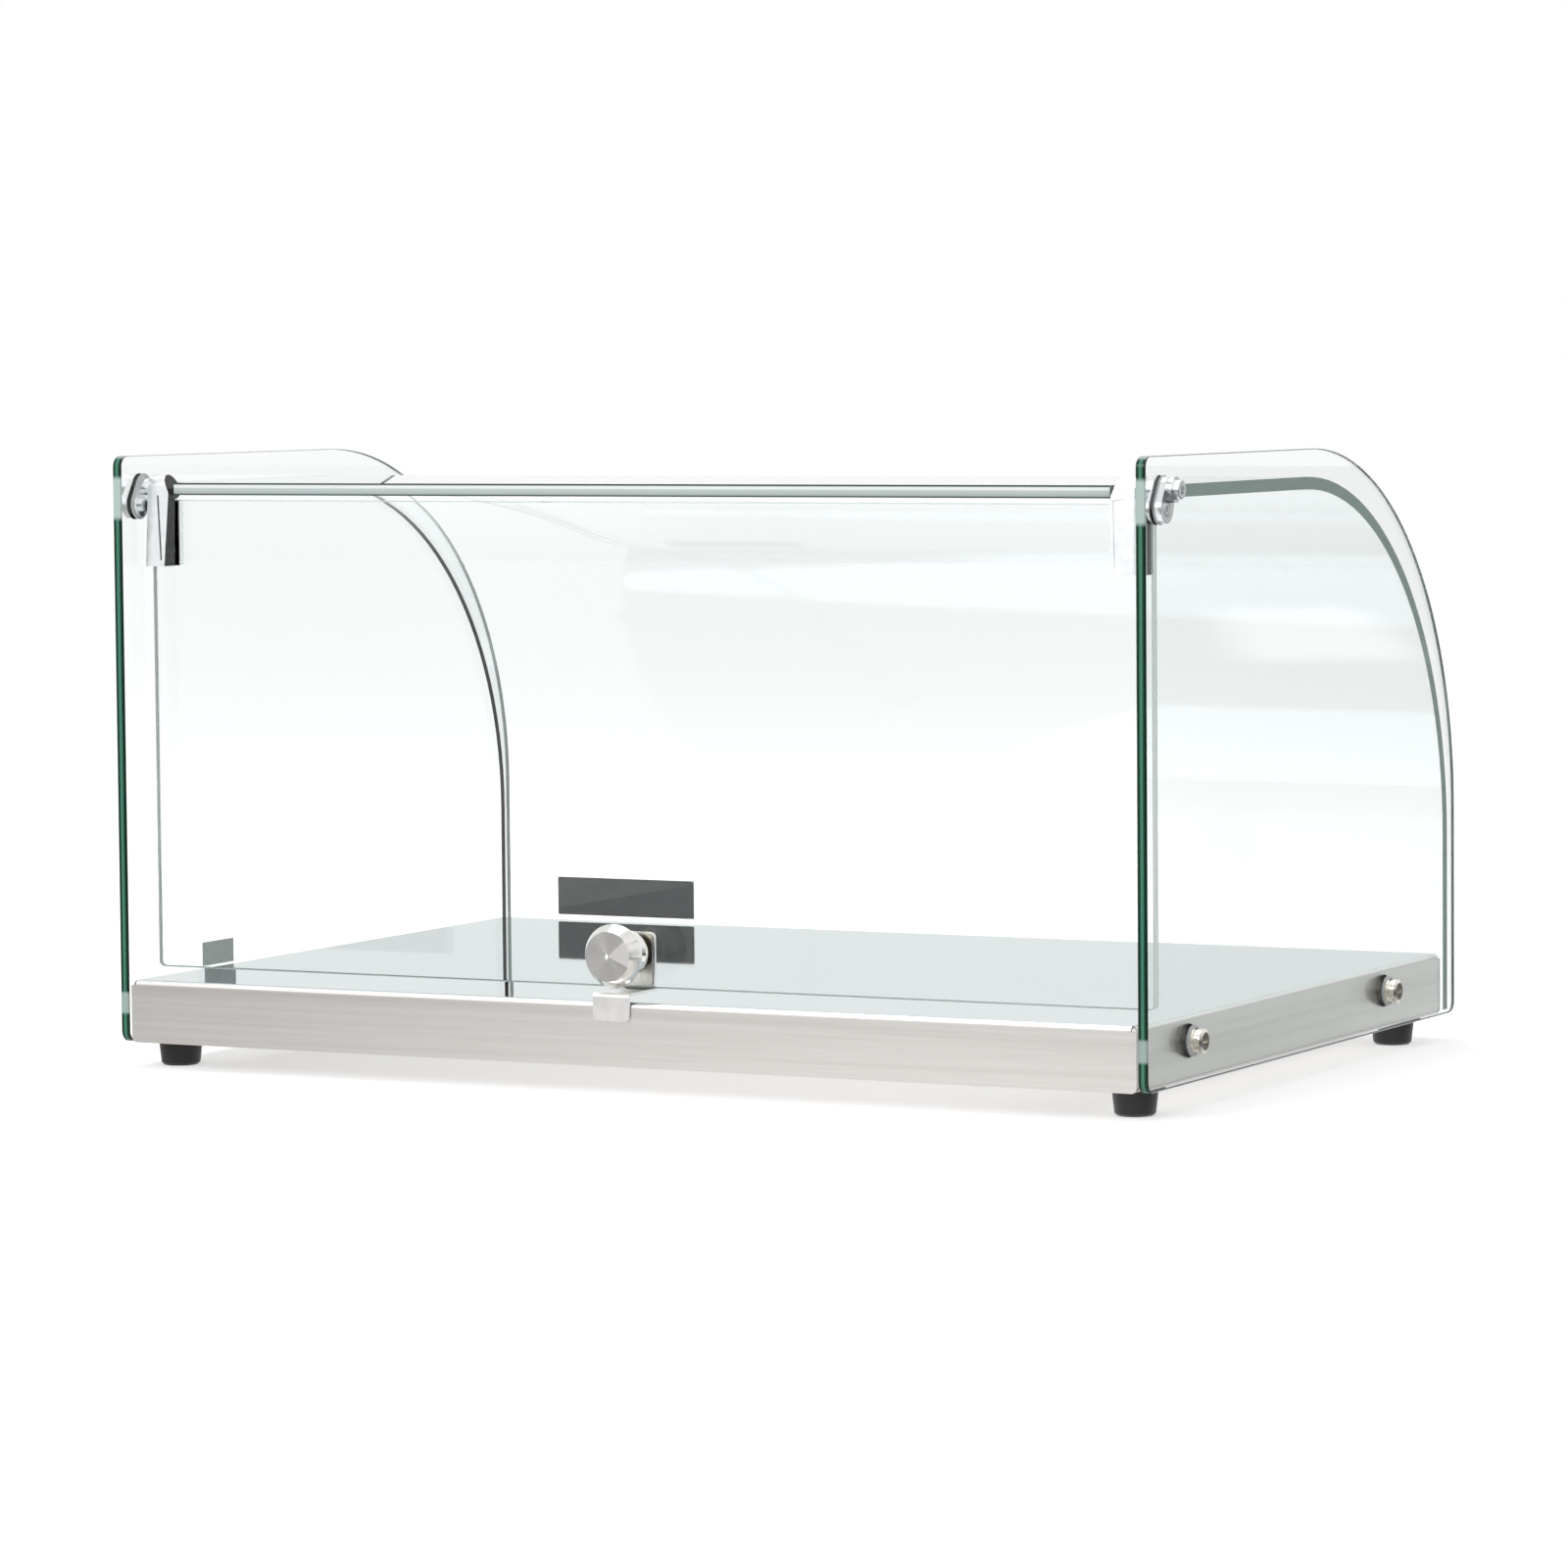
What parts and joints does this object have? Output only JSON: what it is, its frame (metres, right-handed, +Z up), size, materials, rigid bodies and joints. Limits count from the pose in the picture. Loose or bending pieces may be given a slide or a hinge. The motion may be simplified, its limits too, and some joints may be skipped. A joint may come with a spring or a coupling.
{
  "type": "countertop display case",
  "caption": "Countertop display case with a steel base, flat glass sides, a curved glass top and front, and a lifting glass door with a knob.",
  "frame": {"origin": "on the surface that the feet stand on, under the middle of the whole case", "axes": "+X along the case's width, +Z up, -Y towards the operator's door, +Y towards the customer's curved glass"},
  "size_m": [0.575, 0.388, 0.303],
  "materials": {
    "clear_glass": "clear float glass with a green edge and ground arrises",
    "brushed_stainless": "stainless sheet, skirts brushed along their length, deck polished",
    "chrome": "bright chrome on cast zinc",
    "polished_steel": "polished stainless, knob face turned",
    "nickel": "nickel-plated steel",
    "brass": "lacquered brass",
    "black_rubber": "moulded black rubber",
    "black_foam": "black foam tape",
    "clear_plastic": "clear moulded plastic"
  },
  "bodies": {
    "case": {"base_tray": "brushed_stainless", "curved_glass": "clear_glass", "foot_nuts": "nickel", "foot_screws": "nickel", "foot_washers": "nickel", "front_tape": "black_foam", "left_front_foot": "black_rubber", "left_hinge_gaskets": "clear_plastic", "left_hinge_inner_plate": "chrome", "left_hinge_outer_plate": "chrome", "left_hinge_sleeve": "clear_plastic", "left_mount_screw": "chrome", "left_pivot_screw": "chrome", "left_rear_foot": "black_rubber", "left_side_glass": "clear_glass", "right_front_foot": "black_rubber", "right_hinge_gaskets": "clear_plastic", "right_hinge_inner_plate": "chrome", "right_hinge_outer_plate": "chrome", "right_hinge_sleeve": "clear_plastic", "right_mount_screw": "chrome", "right_pivot_screw": "chrome", "right_rear_foot": "black_rubber", "right_side_glass": "clear_glass", "side_bushes": "clear_plastic", "side_flat_washers": "nickel", "side_nuts": "nickel", "side_screws": "nickel", "side_spacers": "black_rubber", "side_spring_washers": "nickel"},
    "door": {"clip_pad": "black_rubber", "door_clip": "polished_steel", "door_glass": "clear_glass", "knob": "polished_steel", "knob_collar": "brass", "knob_screw": "nickel", "left_clamp_jaw": "chrome", "left_clamp_pads": "black_rubber", "left_clamp_screws": "chrome", "left_door_clamp": "chrome", "right_clamp_jaw": "chrome", "right_clamp_pads": "black_rubber", "right_clamp_screws": "chrome", "right_door_clamp": "chrome"}
  },
  "joints": [
    {"name": "door_lift", "type": "hinge", "parent": "case", "child": "door", "pos_m": [0, -0.17, 0.2875], "axis": [-1, 0, 0], "range_deg": [0, 100]}
  ]
}
